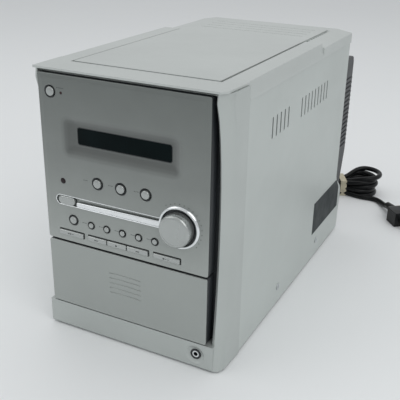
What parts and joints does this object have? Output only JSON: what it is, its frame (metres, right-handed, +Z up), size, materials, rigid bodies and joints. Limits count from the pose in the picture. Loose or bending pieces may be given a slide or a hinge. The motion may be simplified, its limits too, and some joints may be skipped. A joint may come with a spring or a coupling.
{
  "type": "mini hifi system",
  "caption": "Upright compact music system: flat acrylic control fascia, motorised disc drawer, silver vented case, black rear housing and tied mains lead.",
  "frame": {"origin": "under the middle of the tower without its mains lead, on the surface it stands on", "axes": "+X to the right seen from the front, +Y to the back, +Z up"},
  "size_m": [0.2562, 0.4738, 0.2328],
  "materials": {
    "bezel_silver": "satin silver paint on moulded plastic",
    "cover_silver": "fine-grained silver plastic",
    "panel_silver": "satin silver paint on steel",
    "fascia_grey": "metallic grey paint",
    "lens_clear": "clear acrylic, polished edges",
    "display_dark": "dark smoked plastic",
    "ir_dark": "dark red filter plastic",
    "lamp_red": "clear red plastic",
    "chrome_trim": "bright chrome plate",
    "button_silver": "satin silver",
    "drawer_silver": "metallic silver under a clear coat",
    "black_plastic": "fine spark texture",
    "zinc_steel": "zinc-plated sheet",
    "board_green": "solder mask",
    "fin_aluminium": "extruded",
    "gear_nylon": "natural nylon",
    "cord_black": "satin sheath",
    "foot_rubber": "matt",
    "slate_label": "printed film",
    "tie_beige": "matt",
    "core_steel": "varnished laminations"
  },
  "bodies": {
    "case": {"front_bezel": "bezel_silver", "control_panel": "fascia_grey", "fascia_lens": "lens_clear", "display_window": "display_dark", "ir_window": "ir_dark", "standby_lamp": "lamp_red", "button_rings": "chrome_trim", "chrome_slot": "chrome_trim", "volume_ring": "chrome_trim", "volume_encoder": "black_plastic", "key_board": "board_green", "headphone_jack": "black_plastic", "loading_motor": "zinc_steel", "loader_frame": "black_plastic", "main_board": "board_green", "power_transformer": "core_steel", "heat_sink": "fin_aluminium", "fan_frame": "black_plastic", "rear_housing": "black_plastic", "rear_panel": "zinc_steel", "wire_terminals": "black_plastic", "signal_jacks": "zinc_steel", "cord_gland": "cord_black", "power_cord": "cord_black", "cord_hank": "cord_black", "cord_tie": "tie_beige", "power_plug": "cord_black", "side_panel_left": "panel_silver", "side_panel_right": "panel_silver", "bottom_chassis": "zinc_steel", "top_cover": "cover_silver", "top_plate": "cover_silver", "feet": "foot_rubber", "rating_label": "slate_label", "case_screws": "zinc_steel"},
    "power_button": {"power_button": "chrome_trim"},
    "round_button_1": {"round_button_1": "button_silver"},
    "round_button_2": {"round_button_2": "button_silver"},
    "round_button_3": {"round_button_3": "button_silver"},
    "play_button": {"play_button": "button_silver"},
    "source_button": {"source_button": "button_silver"},
    "disc_button_1": {"disc_button_1": "chrome_trim"},
    "disc_button_2": {"disc_button_2": "chrome_trim"},
    "disc_button_3": {"disc_button_3": "chrome_trim"},
    "disc_button_4": {"disc_button_4": "chrome_trim"},
    "disc_button_5": {"disc_button_5": "chrome_trim"},
    "transport_key_1": {"transport_key_1": "chrome_trim"},
    "transport_key_2": {"transport_key_2": "chrome_trim"},
    "transport_key_3": {"transport_key_3": "chrome_trim"},
    "transport_key_4": {"transport_key_4": "chrome_trim"},
    "transport_key_5": {"transport_key_5": "chrome_trim"},
    "knob": {"volume_knob": "chrome_trim", "knob_shaft": "zinc_steel"},
    "drawer": {"drawer_front": "drawer_silver", "disc_tray": "black_plastic"},
    "drive_gear": {"drive_gear": "gear_nylon"},
    "motor_gear": {"motor_gear": "gear_nylon"},
    "laser_sled": {"optical_pickup": "black_plastic"},
    "turntable": {"turntable": "black_plastic"},
    "fan_rotor": {"fan_rotor": "black_plastic"}
  },
  "joints": [
    {"name": "power_press", "type": "slide", "parent": "case", "child": "power_button", "axis": [0, 1, 0], "range_m": [0, 0.0008], "stiffness_N_per_m": 500},
    {"name": "round_press_1", "type": "slide", "parent": "case", "child": "round_button_1", "axis": [0, 1, 0], "range_m": [0, 0.0008], "stiffness_N_per_m": 500},
    {"name": "round_press_2", "type": "slide", "parent": "case", "child": "round_button_2", "axis": [0, 1, 0], "range_m": [0, 0.0008], "stiffness_N_per_m": 500},
    {"name": "round_press_3", "type": "slide", "parent": "case", "child": "round_button_3", "axis": [0, 1, 0], "range_m": [0, 0.0008], "stiffness_N_per_m": 500},
    {"name": "play_press", "type": "slide", "parent": "case", "child": "play_button", "axis": [0, 1, 0], "range_m": [0, 0.0008], "stiffness_N_per_m": 500},
    {"name": "source_press", "type": "slide", "parent": "case", "child": "source_button", "axis": [0, 1, 0], "range_m": [0, 0.0008], "stiffness_N_per_m": 500},
    {"name": "disc_press_1", "type": "slide", "parent": "case", "child": "disc_button_1", "axis": [0, 1, 0], "range_m": [0, 0.0008], "stiffness_N_per_m": 500},
    {"name": "disc_press_2", "type": "slide", "parent": "case", "child": "disc_button_2", "axis": [0, 1, 0], "range_m": [0, 0.0008], "stiffness_N_per_m": 500},
    {"name": "disc_press_3", "type": "slide", "parent": "case", "child": "disc_button_3", "axis": [0, 1, 0], "range_m": [0, 0.0008], "stiffness_N_per_m": 500},
    {"name": "disc_press_4", "type": "slide", "parent": "case", "child": "disc_button_4", "axis": [0, 1, 0], "range_m": [0, 0.0008], "stiffness_N_per_m": 500},
    {"name": "disc_press_5", "type": "slide", "parent": "case", "child": "disc_button_5", "axis": [0, 1, 0], "range_m": [0, 0.0008], "stiffness_N_per_m": 500},
    {"name": "key_press_1", "type": "slide", "parent": "case", "child": "transport_key_1", "axis": [0, 1, 0], "range_m": [0, 0.0008], "stiffness_N_per_m": 500},
    {"name": "key_press_2", "type": "slide", "parent": "case", "child": "transport_key_2", "axis": [0, 1, 0], "range_m": [0, 0.0008], "stiffness_N_per_m": 500},
    {"name": "key_press_3", "type": "slide", "parent": "case", "child": "transport_key_3", "axis": [0, 1, 0], "range_m": [0, 0.0008], "stiffness_N_per_m": 500},
    {"name": "key_press_4", "type": "slide", "parent": "case", "child": "transport_key_4", "axis": [0, 1, 0], "range_m": [0, 0.0008], "stiffness_N_per_m": 500},
    {"name": "key_press_5", "type": "slide", "parent": "case", "child": "transport_key_5", "axis": [0, 1, 0], "range_m": [0, 0.0008], "stiffness_N_per_m": 500},
    {"name": "knob_turn", "type": "hinge", "parent": "case", "child": "knob", "pos_m": [0.047, -0.165, 0.1243], "axis": [0, -1, 0], "continuous": true},
    {"name": "drawer_slide", "type": "slide", "parent": "case", "child": "drawer", "axis": [0, -1, 0], "range_m": [0, 0.13]},
    {"name": "drive_gear_spin", "type": "hinge", "parent": "case", "child": "drive_gear", "pos_m": [0.036, -0.128, 0.046], "axis": [0, 0, 1], "range_deg": [-630, 5]},
    {"name": "motor_gear_spin", "type": "hinge", "parent": "case", "child": "motor_gear", "pos_m": [0.016, -0.128, 0.046], "axis": [0, 0, 1], "range_deg": [-5, 940]},
    {"name": "sled_slide", "type": "slide", "parent": "case", "child": "laser_sled", "axis": [0, 1, 0], "range_m": [0, 0.026]},
    {"name": "turntable_spin", "type": "hinge", "parent": "case", "child": "turntable", "pos_m": [-0.003, -0.07, 0.045], "axis": [0, 0, 1], "continuous": true},
    {"name": "fan_spin", "type": "hinge", "parent": "case", "child": "fan_rotor", "pos_m": [-0.04, 0.158, 0.15], "axis": [0, 1, 0], "continuous": true}
  ],
  "couplings": [
    {"joint": "drive_gear_spin", "follows": "drawer_slide", "rad_per_m": -83.333},
    {"joint": "motor_gear_spin", "follows": "drawer_slide", "rad_per_m": 125}
  ]
}
